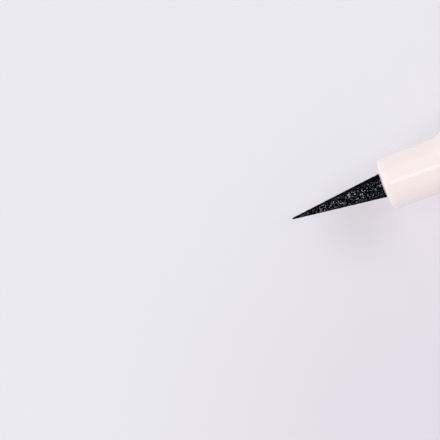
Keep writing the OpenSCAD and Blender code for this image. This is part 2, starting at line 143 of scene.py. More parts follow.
class EyelinerFrontSettings(bpy.types.PropertyGroup):
    """Sizes of the front section: nozzle, shoulder, cap seat, collar and spigot."""
    nozzle_diameter: length("Nozzle Diameter", "Nozzle at its rim", 4.3)
    nozzle_length: length("Nozzle Length", "From the rim to the fillet", 4.9)
    taper: angle("Nozzle Taper", "Slope of the nozzle's side", 0.5)
    rim_radius: length("Rim Radius", "Rounding of the nozzle's rim", 0.2)
    rim_stretch: amount("Rim Stretch", "Length of that rounding along the pen in radii", 3.2, min=1)
    rim_dome: length("Rim Dome", "Radius of the low dome on the nozzle's front", 7.7)
    mouth_radius: length("Mouth Radius", "Rounding of the nozzle's mouth", 0.08)
    fillet_radius: length("Fillet Radius", "Fillet between nozzle and shoulder", 1.4)
    shoulder_slope: angle("Shoulder Slope", "Slope of the shoulder from the axis", 60)
    shoulder_edge: length("Shoulder Edge Radius", "Rounding between shoulder and cap seat", 0.5)
    vent_width: length("Air Groove Width", "Width of each air groove beside the nib", 0.36)
    vent_depth: length("Air Groove Depth", "Depth of each air groove beside the nib", 0.2)
    vents: bpy.props.IntProperty(
        name="Air Grooves", description="Number of air grooves beside the nib", default=3, min=0, max=4)


class EyelinerBarrelSettings(bpy.types.PropertyGroup):
    """Sizes that the barrel, the collars, the cap seat and the tail share."""
    edge_radius: length("Edge Radius", "Rounding of the outside edges", 0.16)
    foot_radius: length("Foot Radius", "Fillet at the foot of the cap seat and tail", 0.15)
    wall: length("Barrel Wall", "Wall of the barrel", 0.8)
    collar_step: length("Collar Step", "How far a collar lies below the barrel", 0.2)
    collar_length: length("Collar Length", "Length of a collar", 1)
    seat_diameter: length("Seat Diameter", "Cap seat and tail that the cap slides over", 7.7)
    bead_height: length("Bead Height", "Height of the snap bead", 0.06)
    bead_length: length("Bead Length", "Length of the snap bead", 0.8)
    bead_offset: length("Bead Offset", "From the collar to the snap bead", 2.6)
    tail_radius: length("Tail Edge Radius", "Rounding of the tail's end", 0.7)
    tail_wall: length("Tail Wall", "Wall of the tail and its end", 1)
    gate_diameter: length("Gate Dimple", "Diameter of the moulding gate's dimple", 1.2)
    gate_depth: length("Gate Depth", "Depth of the moulding gate's dimple", 0.15)
    lead_in: length("Lead-in", "Chamfer that leads a spigot in", 0.3)


class EyelinerCapSettings(bpy.types.PropertyGroup):
    """Sizes of the cap, its liner, its spring and the sprung inner cap."""
    shell_wall: length("Shell Wall", "Wall of the cap's outer tube", 0.65)
    sleeve_wall: length("Sleeve Wall", "Wall of the snap sleeve", 0.59)
    lip: length("Lip Thickness", "Sleeve's retaining lip", 0.8)
    crown_radius: length("Crown Edge Radius", "Rounding of the cap's closed end", 0.6)
    crown_wall: length("Crown Spigot Wall", "Wall of the crown's spigot", 0.9)
    boss_length: length("Boss Length", "Bosses that centre the spring", 1)
    wire: length("Spring Wire", "Thickness of the spring's wire", 0.45)
    coil: length("Spring Diameter", "Mean diameter of the spring", 5)
    turns: amount("Open Turns", "Turns of the spring between its closed ends", 3.5, min=2, max=4)
    cup_wall: length("Inner Cap Wall", "Wall of the inner cap", 0.49)
    flange: length("Inner Cap Flange", "Height of the inner cap's flange", 0.44)
    slide: length("Slide Clearance", "Clearance round the inner cap", 0.06)


class EyelinerFinishSettings(bpy.types.PropertyGroup):
    """Colours of the plastics, rubber, fibre and steel."""
    ivory: colour("Ivory", "Glossy plastic of the pen's outside", (0.865, 0.780, 0.760))
    white: colour("White Plastic", "Moulded pieces inside", (0.80, 0.80, 0.79))
    milky: colour("Tank Plastic", "Milky plastic of the ink tank", (0.72, 0.74, 0.78))
    dark_rubber: colour("Rubber", "Seal rings", (0.035, 0.035, 0.038))
    soft_rubber: colour("Soft Rubber", "Inner cap's soft ring", (0.52, 0.51, 0.52))
    fibre: colour("Fibre", "Dry feed fibre", (0.62, 0.61, 0.60))
    steel: colour("Steel", "Mixing ball and cap spring", (0.60, 0.60, 0.61))


class EyelinerStageSettings(bpy.types.PropertyGroup):
    """Camera, floor and lamps."""
    elevation: angle("Camera Elevation", "Camera's turn about the pen's axis, up from the near side", 69)
    lean: angle("Camera Lean", "Camera's turn about the nib's point, towards the cap", 6.4)
    roll: angle("Camera Roll", "Slope of the pen's axis in the picture", 20.3)
    lens: amount("Lens", "Focal length in millimetres", 300, unit="CAMERA")
    floor: colour("Floor Colour", "Colour of the floor", (0.795, 0.788, 0.834))
    # Painted shade: colour of a soft, darker lilac patch of floor in front of the nozzle
    floor_painted_shade: colour("Floor Tint", "Colour of the floor in front of the nozzle", (0.735, 0.706, 0.787))
    # Painted shadow: colour of a small, darker patch of floor under the nib
    floor_painted_shadow: colour("Floor Shade", "Colour of the floor beside the nib's base", (0.735, 0.697, 0.745))
    sky: amount("Room Light", "Light from straight above", 0.46, min=0)
    horizon: amount("Low Light", "How much brighter the room is near the floor", 2.05, min=0)
    softbox: amount("Softbox", "Brightness of the overhead softbox", 0.755, min=0)
    softbox_angle: angle("Softbox Angle", "Softbox's turn about the pen's axis, up from the near side", 94)
    strip: amount("Strip Lamp", "Brightness of the strip lamp above the camera", 5.2, min=0)
    front_light: amount("Front Lamp", "Brightness of the lamp in front of the nib", 4.5, min=0)
    front_angle: angle("Front Angle", "Height of that lamp above the floor", 10)
    # Painted light: colour of a glowing pool painted on the floor under the nozzle, and how much of it the
    # camera sees
    painted_spill: colour("Spill Colour", "Light that the nozzle throws on the floor", (0.872, 0.792, 0.872))
    painted_spill_share: amount("Spill", "Strength of that light", 0.46, min=0, max=1)
    shadow: amount("Shadow Depth", "Share of the floor's shade that the camera sees", 0.8, min=0, max=1)


SETTINGS = (
    ("eyeliner_nib", EyelinerNibSettings),
    ("eyeliner_front", EyelinerFrontSettings),
    ("eyeliner_barrel", EyelinerBarrelSettings),
    ("eyeliner_cap", EyelinerCapSettings),
    ("eyeliner_finish", EyelinerFinishSettings),
    ("eyeliner_stage", EyelinerStageSettings),
)


# Node trees of the materials


class Socket:
    """What a node gives out. Arithmetic on it adds Math nodes."""

    def __init__(self, tree, output):
        self.tree = tree
        self.output = output

    def maths(self, operation, *values):
        return add_node(self.tree, "ShaderNodeMath", {"operation": operation}, dict(enumerate(values)))

    def __add__(self, other):
        return self.maths("ADD", self, other)

    def __sub__(self, other):
        return self.maths("SUBTRACT", self, other)

    def __mul__(self, other):
        return self.maths("MULTIPLY", self, other)

    def __radd__(self, other):
        return self.maths("ADD", other, self)

    def __rsub__(self, other):
        return self.maths("SUBTRACT", other, self)

    def __abs__(self):
        return self.maths("ABSOLUTE", self)


def add_node(tree, kind, settings=None, values=None, output=0):
    """Adds a node, with its settings first and then the values or links of its sockets."""
    node = tree.nodes.new(kind)
    for name, value in (settings or {}).items():
        setattr(node, name, value)
    for name, value in (values or {}).items():
        plug = find_plug(node.inputs, name)
        if isinstance(value, Socket):
            tree.links.new(value.output, plug)
        else:
            plug.default_value = value
    return Socket(tree, find_plug(node.outputs, output))


def find_plug(plugs, name):
    """One of a node's inputs or outputs, by its identifier, or else by its name or its place in the row."""
    for plug in plugs:
        if plug.identifier == name:
            return plug
    return plugs[name]


class Finish:
    """One procedural material. The fixed values go on the shader's own sockets."""

    def __init__(self, name, **fixed):
        self.material = bpy.data.materials.new(name)
        self.material.use_nodes = True
        self.tree = self.material.node_tree
        self.shader = self.tree.nodes["Principled BSDF"]
        for plug, value in fixed.items():
            self.shader.inputs[plug.replace("_", " ")].default_value = value

    def node(self, kind, settings=None, values=None, output=0):
        return add_node(self.tree, kind, settings, values, output)

    def vector(self, operation, *values, output=0):
        """A Vector Math node, whose output Value is a number."""
        return self.node("ShaderNodeVectorMath", {"operation": operation}, dict(enumerate(values)), output)

    def place(self, stretch=(1, 1, 1)):
        """Object coordinates in millimetres from the pen's axis, stretched along X, Y and Z."""
        here = self.node("ShaderNodeTexCoord", output="Object")
        scale = tuple(s / MM for s in stretch)
        shift = (0, 0, -AXIS_Z / MM * stretch[2])
        return self.node("ShaderNodeMapping", None, {"Vector": here, "Location": shift, "Scale": scale})

    def towards(self, place, side):
        """How far a place about the axis lies on one side of it: 1 there, 0 beside it and -1 behind."""
        outward = self.vector("NORMALIZE", self.vector("MULTIPLY", place, (0, 1, 1)))
        return self.vector("DOT_PRODUCT", outward, (0, math.cos(side), math.sin(side)), output="Value")

    def noise(self, place, pitch, detail=2.0, roughness=0.5, distortion=0.0):
        """Cloudy noise from 0 to 1, whose lumps are about pitch millimetres apart."""
        return self.node("ShaderNodeTexNoise", None, {
            "Vector": place, "Scale": 1 / pitch, "Detail": detail, "Roughness": roughness,
            "Distortion": distortion})

    def cells(self, place, pitch):
        """Distance to the nearest of scattered points, pitch millimetres apart."""
        return self.node("ShaderNodeTexVoronoi", None, {"Vector": place, "Scale": 1 / pitch})

    def ease(self, value, low, high, start=0.0, end=1.0):
        """A smooth step from start to end as the value goes from low to high."""
        return self.node("ShaderNodeMapRange", {"interpolation_type": "SMOOTHSTEP"}, {
            "Value": value, "From Min": low, "From Max": high, "To Min": start, "To Max": end})

    def mix(self, share, first, second):
        """A colour between two colours."""
        first, second = (hue if isinstance(hue, Socket) else (*hue, 1) for hue in (first, second))
        return self.node("ShaderNodeMix", {"data_type": "RGBA"}, {
            "Factor_Float": share, "A_Color": first, "B_Color": second}, output="Result_Color")

    def feed(self, plug, value):
        """Links a value to one of the shader's inputs."""
        self.tree.links.new(value.output, self.shader.inputs[plug])

    def bump(self, height, depth):
        """Raises the surface by height times depth, in millimetres."""
        self.feed("Normal", self.node("ShaderNodeBump", None, {
            "Height": height, "Distance": depth * MM, "Strength": 1.0}))


def shaded(hue, factor):
    """A colour made darker or lighter by one factor."""
    return tuple(min(1.0, part * factor) for part in hue)


def glossy_ivory(name, scene):
    """Glossy ivory plastic, with faint waves, fine scratches and a little wear in its gloss."""
    ivory = scene.eyeliner_finish.ivory
    skin = Finish(name, Specular_IOR_Level=0.5, IOR=1.49, Subsurface_Weight=0.06, Subsurface_Scale=0.6 * MM)
    here = skin.place()
    clouds = skin.noise(here, 9.0, detail=3.0)
    specks = skin.noise(here, 0.5)
    tone = skin.ease(clouds * 0.8 + specks * 0.2, 0.3, 0.7)
    skin.feed("Base Color", skin.mix(tone, shaded(ivory, 0.985), shaded(ivory, 1.01)))
    drawn_out = skin.place((0.12, 1, 1))
    scratches = skin.ease(skin.noise(drawn_out, 0.16, detail=3.0, roughness=0.6), 0.62, 0.72)
    handled = skin.ease(skin.noise(here, 4.0, detail=4.0, roughness=0.65), 0.42, 0.68)
    skin.feed("Roughness", 0.13 + scratches * 0.08 + handled * 0.05)
    waves = skin.noise(skin.place((0.5, 1, 1)), 1.6, detail=1.0)
    skin.bump(waves * 0.8 - scratches * 0.12, 0.006)


def wet_felt(name, scene):
    """Black felt soaked in ink, with short pale curls painted into its colour as glints on one side and the
    side opposite; the same curls are also glossier.
    """
    nib = scene.eyeliner_nib
    felt = Finish(name, Specular_IOR_Level=0.01, Coat_Roughness=0.2, Coat_IOR=1.6)
    here = felt.place()
    curls = felt.noise(here, 0.17, detail=1.0, distortion=0.6)
    lines = 1 - felt.ease(abs(curls - 0.5), 0.005, 0.025)
    breaks = felt.ease(felt.noise(here, 0.1, detail=0.0), 0.5, 0.54)
    # The painted glints stand on one side of the nib and the side opposite, and fade between them
    painted_glint_band = felt.ease(abs(felt.towards(here, nib.painted_glint_side)), 0.5, 0.92, start=0.06)
    patches = felt.ease(felt.noise(here, 0.4, detail=1.0), 0.38, 0.62, start=0.25)
    painted_glints = lines * breaks * painted_glint_band * patches
    # Painted glints: pale curls in the felt's colour, which also get less roughness and a real coat
    felt.feed("Base Color", felt.mix(painted_glints, nib.ink, nib.painted_glint))
    felt.feed("Roughness", 0.8 - painted_glints * 0.4)
    felt.feed("Coat Weight", painted_glints * 0.3)
    felt.bump(felt.noise(here, 0.07, detail=3.0, roughness=0.6), 0.012)


def bundled_fibre(name, scene):
    """Bundled fibre, drawn along the pen and dark where it has taken ink."""
    clean, ink = scene.eyeliner_finish.fibre, scene.eyeliner_nib.ink
    fibre = Finish(name, Specular_IOR_Level=0.25)
    strands = fibre.noise(fibre.place((0.08, 1, 1)), 0.12, detail=3.0, roughness=0.6)
    soaked = fibre.ease(fibre.noise(fibre.place(), 2.2, detail=3.0), 0.35, 0.62)
    dry = fibre.mix(strands, shaded(clean, 0.7), clean)
    fibre.feed("Base Color", fibre.mix(soaked, dry, shaded(ink, 4)))
    fibre.feed("Roughness", 0.85 - soaked * 0.35)
    fibre.bump(strands, 0.05)


def moulded_white(name, scene):
    """Moulded white plastic with a fine eroded texture and slight flow marks."""
    white = scene.eyeliner_finish.white
    plastic = Finish(name, Specular_IOR_Level=0.45, Subsurface_Weight=0.05, Subsurface_Scale=0.6 * MM)
    here = plastic.place()
    flow = plastic.noise(plastic.place((0.3, 1, 1)), 2.4, detail=3.0)
    plastic.feed("Base Color", plastic.mix(flow, shaded(white, 0.97), shaded(white, 1.03)))
    grain = plastic.noise(here, 0.09)
    plastic.feed("Roughness", 0.28 + flow * 0.1 + grain * 0.08)
    plastic.bump(grain + flow * 0.6, 0.004)


def milky_tank(name, scene):
    """Milky plastic, clouded by the ink that wets its inside."""
    milky = scene.eyeliner_finish.milky
    plastic = Finish(name, Specular_IOR_Level=0.5, Subsurface_Weight=0.1, Subsurface_Scale=0.8 * MM)
    here = plastic.place((0.4, 1, 1))
    film = plastic.ease(plastic.noise(here, 2.6, detail=4.0, roughness=0.6), 0.45, 0.7)
    plastic.feed("Base Color", plastic.mix(film * 0.5, milky, shaded(milky, 0.35)))
    plastic.feed("Roughness", 0.2 + film * 0.15)
    plastic.bump(plastic.noise(here, 0.8), 0.004)


def rubber(name, scene):
    """Matt rubber with a dusty bloom and a fine grain, in the colour of that name."""
    hue = getattr(scene.eyeliner_finish, name)
    skin = Finish(name, Specular_IOR_Level=0.35)
    here = skin.place()
    bloom = skin.noise(here, 0.9, detail=4.0, roughness=0.6)
    skin.feed("Base Color", skin.mix(bloom, shaded(hue, 0.85), shaded(hue, 1.25)))
    skin.feed("Roughness", 0.5 + bloom * 0.2)
    skin.bump(skin.noise(here, 0.08), 0.006)


def polished_steel(name, scene):
    """Drawn and polished steel, with fine marks round the wire and a few pits."""
    bright = scene.eyeliner_finish.steel
    steel = Finish(name, Metallic=1.0)
    here = steel.place()
    marks = steel.noise(steel.place((3, 0.6, 0.6)), 0.3, detail=3.0, roughness=0.6)
    pits = steel.ease(steel.cells(here, 0.35), 0.06, 0.14, start=1.0, end=0.0)
    steel.feed("Base Color", steel.mix(marks, shaded(bright, 0.9), shaded(bright, 1.08)))
    steel.feed("Roughness", 0.16 + marks * 0.12 + pits * 0.2)
    steel.bump(marks * 0.4 - pits, 0.003)


# Tools for the pieces


def corner(station, radius, bend, start, end, steps=CORNER_STEPS, stretch=1.0):
    """Points of a round corner about a station and radius, stretched along the pen.

    At 0 degrees a point lies away from the axis, and at 90 towards the cap.
    """
    turns = [math.radians(start + (end - start) * i / steps) for i in range(steps + 1)]
    return [(station + stretch * bend * math.sin(t), radius + bend * math.cos(t)) for t in turns]


def front_edge(station, radius, bend, steps=CORNER_STEPS):
    """Points of a rounded outside edge that looks towards the nib."""
    return corner(station + bend, radius - bend, bend, -90, 0, steps)


def rear_edge(station, radius, bend, steps=CORNER_STEPS):
    """Points of a rounded outside edge that looks towards the cap."""
    return corner(station - bend, radius - bend, bend, 0, 90, steps)


def band(front, rear, radius, bend, steps=CORNER_STEPS):
    """Points of the outside between two stations, with both its edges rounded."""
    return front_edge(front, radius, bend, steps) + rear_edge(rear, radius, bend, steps)


def mouth_edge(station, radius, bend, steps=CORNER_STEPS):
    """Points of a bore's rounded edge that looks towards the nib."""
    return corner(station + bend, radius + bend, bend, 180, 270, steps)


def supported(outline):
    """The outline with a point close to each end of its long straight lines, so that they shade flat."""
    points = [outline[0]]
    for (s0, r0), (s1, r1) in zip(outline, outline[1:]):
        span = math.hypot(s1 - s0, r1 - r0)
        if span > 4 * HOLD:
            share = HOLD / span
            points.append((s0 + (s1 - s0) * share, r0 + (r1 - r0) * share))
            points.append((s1 + (s0 - s1) * share, r1 + (r0 - r1) * share))
        points.append((s1, r1))
    return points


def turned(name, outline, sides=SIDES):
    """Extrudes a point along an outline of stations and radii, and spins it about the pen's axis."""
    places = [Vector((NIB_POINT_X + station, 0, AXIS_Z + radius)) for station, radius in outline]
    bpy.ops.object.select_all(action="DESELECT")
    bpy.ops.mesh.primitive_plane_add(size=HOLD, location=places[0])
    piece = bpy.context.object
    piece.name = piece.data.name = name
    bpy.ops.object.mode_set(mode="EDIT")
    bpy.ops.mesh.merge(type="CENTER")
    for here, there in zip(places, places[1:]):
        bpy.ops.mesh.extrude_region_move(TRANSFORM_OT_translate={"value": there - here})
    bpy.ops.mesh.select_all(action="SELECT")
    bpy.ops.mesh.spin(steps=sides, angle=math.tau, center=(0, 0, AXIS_Z), axis=(1, 0, 0))
    weld()
    bpy.ops.object.transform_apply(location=True, rotation=True, scale=True)
    bpy.ops.object.shade_smooth_by_angle(angle=SMOOTH_ANGLE)
    return piece


def weld():
    """Merges what touches in the mesh that is being edited, turns its faces outwards and leaves edit mode."""
    bpy.ops.mesh.select_all(action="SELECT")
    bpy.ops.mesh.remove_doubles(threshold=WELD)
    bpy.ops.mesh.normals_make_consistent(inside=False)
    bpy.ops.object.mode_set(mode="OBJECT")


def turned_hollow(name, outside, inside):
    """Turns a cup as two shells that both meet the axis, and joins them along the ring that they share."""
    outer = turned(name, supported(outside))
    inner = turned(name + "_inside", supported(inside))
    bpy.ops.object.select_all(action="DESELECT")
    inner.select_set(True)
    outer.select_set(True)
    bpy.context.view_layer.objects.active = outer
    bpy.ops.object.join()
    bpy.ops.object.mode_set(mode="EDIT")
    weld()
    bpy.ops.object.shade_smooth_by_angle(angle=SMOOTH_ANGLE)
    return outer


def apply_modifier(piece, kind, **values):
    """Adds a modifier to the piece, sets it and applies it."""
    bpy.context.view_layer.objects.active = piece
    modifier = piece.modifiers.new(kind.title(), kind)
    for name, value in values.items():
        setattr(modifier, name, value)
    bpy.ops.object.modifier_apply(modifier=modifier.name)


# What makes each material, and the record's slot for it
FINISHES = {
    "glossy_ivory": (glossy_ivory, "ivory_gloss"), "wet_felt": (wet_felt, "inked_felt"),
    "bundled_fibre": (bundled_fibre, "feed_fibre"), "moulded_white": (moulded_white, "white_plastic"),
    "milky_tank": (milky_tank, "tank_plastic"), "dark_rubber": (rubber, "seal_rubber"),
    "soft_rubber": (rubber, "seal_rubber"), "polished_steel": (polished_steel, "steel"),
}


def give_finish(piece, name):
    """Gives a piece its only material, made the first time that it is asked for."""
    maker, slot = FINISHES[name]
    if name not in bpy.data.materials:
        maker(name, bpy.context.scene)
    piece.data.materials.clear()
    piece.data.materials.append(bpy.data.materials[name])


def finish_piece(piece, finish, body, node):
    """Gives a piece its material and the body that it rides on, and hides the CAD node that it stands for."""
    give_finish(piece, finish)
    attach(piece, body)
    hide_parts(node)


def stations(node):
    """Front and rear station of a CAD node, from the nib's point."""
    low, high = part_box(node)
    return low.x - NIB_POINT_X, high.x - NIB_POINT_X


# The pieces


class EYELINER_OT_nib(bpy.types.Operator):
    """Add the felt nib with its wet grain"""
    bl_idname = "eyeliner.nib"
    bl_label = "Felt Nib"

    ring_gap = 0.042 * MM  # distance between the cone's rings
    smooth_length = 0.5 * MM  # how far behind the point the grain reaches its depth
    grain_level = 0.55  # height of the clouds that leaves the surface where it is

    def execute(self, context):
        nib = context.scene.eyeliner_nib
        radius = nib.diameter / 2
        reach = nib.exposed - nib.point_radius
        half_angle = math.atan2(radius, reach) - math.asin(nib.point_radius / math.hypot(radius, reach))
        tip = corner(nib.point_radius, 0, nib.point_radius, -90, -math.degrees(half_angle), steps=6)
        start_station, start_radius = tip[-1]
        span = nib.exposed - start_station
        rings = round(span / self.ring_gap)
        cone = [
            (start_station + span * i / rings, start_radius + (radius - start_radius) * i / rings)
            for i in range(1, rings + 1)]
        end = nib.exposed + nib.shank
        shank = [
            (nib.exposed + self.ring_gap, radius), (end - nib.chamfer, radius),
            (end, radius - nib.chamfer), (end, 0)]
        piece = turned("felt_nib", tip + cone + shank, NIB_SIDES)
        self.add_grain(piece, nib)
        finish_piece(piece, "wet_felt", "pen", "nib")
        return {"FINISHED"}

    def add_grain(self, piece, nib):
        """Roughens the cone's surface with lumps of felt, but not at the point or in the nozzle."""
        group = piece.vertex_groups.new(name="grain")
        for vertex in piece.data.vertices:
            station = vertex.co.x - NIB_POINT_X
            rise = min(1.0, station / self.smooth_length)
            bare = station < nib.exposed + self.ring_gap / 2
            group.add([vertex.index], rise if bare else 0.0, "REPLACE")
        clouds = bpy.data.textures.new("felt_grain", "CLOUDS")
        clouds.noise_scale = nib.grain_pitch
        clouds.noise_depth = 2
        apply_modifier(
            piece, "DISPLACE", texture=clouds, texture_coords="LOCAL", vertex_group="grain",
            strength=nib.grain_depth * 2, mid_level=self.grain_level)
        bpy.data.textures.remove(clouds)
        bpy.ops.object.shade_smooth()


class EYELINER_OT_front_section(bpy.types.Operator):
    """Add the moulding with the nozzle, shoulder, cap seat, collar and spigot"""
    bl_idname = "eyeliner.front_section"
    bl_label = "Front Section"

    seal_gap = 0.01 * MM  # gap under the seal ring
    tank_bore_r = 3.6 * MM
    tank_socket = 3 * MM  # how far the tank's bore reaches into the barrel's front end
    collector_bore_r = 3 * MM
    collar_bore_r = 1.8 * MM  # bore that holds the nib's collar
    flange = 0.8 * MM  # thickness of the flange of that collar

    def execute(self, context):
        scene = context.scene
        front, barrel, nib = scene.eyeliner_front, scene.eyeliner_barrel, scene.eyeliner_nib
        piece = turned("front_moulding", supported(self.outline(front, barrel, nib)))
        self.cut_vents(piece, front, nib)
        finish_piece(piece, "glossy_ivory", "pen", "front_section")
        return {"FINISHED"}

    def outline(self, front, barrel, nib):
        """From the nozzle's mouth over the outside to the spigot's end, and back through the bore."""
        rim, spigot_end = stations("front_section")
        barrel_front = stations("barrel")[0]
        collar_front = barrel_front - barrel.collar_length
        collar_r = BODY_R - barrel.collar_step
        seat_r = barrel.seat_diameter / 2
        spigot_r = BODY_R - barrel.wall - FIT_GAP
        bore_r = nib.diameter / 2 + FIT_GAP
        taper, slope = front.taper, front.shoulder_slope
        fillet, edge, foot = front.fillet_radius, front.shoulder_edge, barrel.foot_radius
        fillet_at = rim + front.nozzle_length
        fillet_r = front.nozzle_diameter / 2 + front.nozzle_length * math.tan(taper)
        cone_start = fillet_at + fillet * (math.sin(slope) - math.sin(taper))
        cone_start_r = fillet_r + fillet * (math.cos(taper) - math.cos(slope))
        cone_end_r = seat_r - edge * (1 - math.cos(slope))
        cone_end = cone_start + (cone_end_r - cone_start_r) / math.tan(slope)
        seat_front = cone_end + edge * math.sin(slope)
        return (
            self.nozzle_front(front, rim, bore_r)
            + corner(fillet_at - fillet * math.sin(taper), fillet_r + fillet * math.cos(taper), fillet,
                     180 - math.degrees(taper), 180 - math.degrees(slope))
            + corner(seat_front, seat_r - edge, edge, -math.degrees(slope), 0)
            + snap_bead(barrel, collar_front - barrel.bead_offset - barrel.bead_length)
            + corner(collar_front - foot, seat_r + foot, foot, 180, 90)
            + front_edge(collar_front, collar_r, barrel.edge_radius)
            + [(barrel_front, collar_r), (barrel_front, spigot_r)]
            + self.seal_groove(spigot_r, barrel)
            + [(spigot_end - barrel.lead_in, spigot_r), (spigot_end, spigot_r - barrel.lead_in)]
            + self.inside(spigot_end, bore_r) + [(rim + front.mouth_radius, bore_r)])

    def nozzle_front(self, front, rim, bore_r):
        """The mouth's rounding, the low dome round it and the rim's rounding, each tangent to the next."""
        mouth_r = bore_r + front.mouth_radius
        mouth_reach = front.rim_dome - front.mouth_radius
        mouth_slope = math.asin(mouth_r / mouth_reach)
        dome_middle = rim + front.mouth_radius + mouth_reach * math.cos(mouth_slope)
        side_turn = math.atan(math.tan(front.taper) * front.rim_stretch)
        rim_length = front.rim_radius * front.rim_stretch
        widening = rim_length * (1 - math.sin(side_turn)) * math.tan(front.taper)
        rim_r = front.nozzle_diameter / 2 + widening - front.rim_radius * math.cos(side_turn)
        rim_slope = math.asin(rim_r / front.rim_dome)
        rim_turn = math.atan(math.tan(rim_slope) / front.rim_stretch)
        rim_at = dome_middle - front.rim_dome * math.cos(rim_slope) + rim_length * math.cos(rim_turn)
        mouth_slope, rim_slope, rim_turn, side_turn = (
            math.degrees(turn) for turn in (mouth_slope, rim_slope, rim_turn, side_turn))
        return (
            corner(rim + front.mouth_radius, mouth_r, front.mouth_radius, 180, 270 + mouth_slope)
            + corner(dome_middle, 0, front.rim_dome, -90 + mouth_slope, -90 + rim_slope)[1:-1]
            + corner(rim_at, rim_r, front.rim_radius, -90 + rim_turn, -side_turn, stretch=front.rim_stretch))

    def seal_groove(self, spigot_r, barrel):
        """The groove in the spigot that the seal ring lies in."""
        low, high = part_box("front_seal")
        middle = (low.x + high.x) / 2 - NIB_POINT_X
        thickness = high.x - low.x
        floor_r = spigot_r - thickness - self.seal_gap
        half = (thickness + barrel.lead_in) / 2
        front, rear = middle - half, middle + half
        return [(front, spigot_r), (front, floor_r), (rear, floor_r), (rear, spigot_r)]

    def inside(self, spigot_end, bore_r):
        """The stepped bore, from the spigot's end forward to the nib's grip."""
        collar_front, collar_rear = stations("nib_collar")
        flange_front = collar_rear - self.flange
        socket_front = stations("barrel")[0] + self.tank_socket
        return [
            (spigot_end, self.tank_bore_r), (socket_front, self.tank_bore_r),
            (socket_front, self.collector_bore_r), (flange_front, self.collector_bore_r),
            (flange_front, self.collar_bore_r), (collar_front, self.collar_bore_r), (collar_front, bore_r)]

    def cut_vents(self, piece, front, nib):
        """Cuts the air grooves beside the nib with one cutter for each."""
        rim = stations("front_section")[0]
        grip_end = stations("nib_collar")[0]
        reach = nib.diameter / 2 + front.vent_depth
        for i in range(front.vents):
            turn = math.tau * i / front.vents
            along = (rim + grip_end) / 2 - HOLD + NIB_POINT_X
            aside = math.sin(turn) * reach / 2
            down = math.cos(turn) * reach / 2
            bpy.ops.object.select_all(action="DESELECT")
            bpy.ops.mesh.primitive_cube_add(
                size=1, location=(along, aside, AXIS_Z - down), rotation=(turn, 0, 0))
            cutter = bpy.context.object
            cutter.scale = (grip_end - rim + 2 * HOLD, front.vent_width, reach)
            bpy.ops.object.transform_apply(location=True, rotation=True, scale=True)
            apply_modifier(piece, "BOOLEAN", operation="DIFFERENCE", solver="EXACT", object=cutter)
            bpy.data.meshes.remove(cutter.data)
        bpy.ops.object.select_all(action="DESELECT")
        piece.select_set(True)
        bpy.context.view_layer.objects.active = piece
        bpy.ops.object.shade_smooth_by_angle(angle=SMOOTH_ANGLE)


def snap_bead(barrel, front):
    """Outline of the snap bead on the cap seat or the tail, with its slopes eased."""
    seat_r = barrel.seat_diameter / 2
    third = barrel.bead_length / 3
    top = seat_r + barrel.bead_height
    slope_r = seat_r + barrel.bead_height * BEAD_EASE
    return [
        (front, seat_r), (front + third * 0.5, slope_r), (front + third, top),
        (front + third * 2, top), (front + third * 2.5, slope_r), (front + third * 3, seat_r)]


class EYELINER_OT_barrel(bpy.types.Operator):
    """Add the outer tube that the hand holds"""
    bl_idname = "eyeliner.barrel"
    bl_label = "Barrel"

    def execute(self, context):
        barrel = context.scene.eyeliner_barrel
        front, rear = stations("barrel")
        bore_r = BODY_R - barrel.wall
        outline = (
            [(front, bore_r)]
            + band(front, rear, BODY_R, barrel.edge_radius)
            + [(rear, bore_r), (front, bore_r)])
        finish_piece(turned("barrel_tube", supported(outline)), "glossy_ivory", "pen", "barrel")
        return {"FINISHED"}


class EYELINER_OT_tail(bpy.types.Operator):
    """Add the rear collar and the tail that the cap is posted on"""
    bl_idname = "eyeliner.tail"
    bl_label = "Tail Plug"

    gate_edge = 0.05 * MM  # rounding of the gate dimple's rim

    def execute(self, context):
        barrel = context.scene.eyeliner_barrel
        spigot_front, end = stations("tail_plug")
        barrel_rear = stations("barrel")[1]
        tail_front = barrel_rear + barrel.collar_length
        collar_r = BODY_R - barrel.collar_step
        seat_r = barrel.seat_diameter / 2
        spigot_r = BODY_R - barrel.wall - FIT_GAP
        bore_r = seat_r - barrel.tail_wall
        gate_r = barrel.gate_diameter / 2
        lead_in, foot, gate_depth = barrel.lead_in, barrel.foot_radius, barrel.gate_depth
        outline = (
            [(spigot_front, bore_r), (spigot_front, spigot_r - lead_in), (spigot_front + lead_in, spigot_r),
             (barrel_rear, spigot_r), (barrel_rear, collar_r)]
            + rear_edge(tail_front, collar_r, barrel.edge_radius)
            + corner(tail_front + foot, seat_r + foot, foot, 270, 180)
            + snap_bead(barrel, tail_front + barrel.bead_offset)
            + rear_edge(end, seat_r, barrel.tail_radius)
            + corner(end - self.gate_edge, gate_r, self.gate_edge, 90, 135, steps=3)
            + [(end - gate_depth, gate_r - gate_depth), (end - gate_depth, 0)])
        inside = [(end - barrel.tail_wall, 0), (end - barrel.tail_wall, bore_r), (spigot_front, bore_r)]
        finish_piece(turned_hollow("tail_moulding", outline, inside), "glossy_ivory", "pen", "tail_plug")
        return {"FINISHED"}


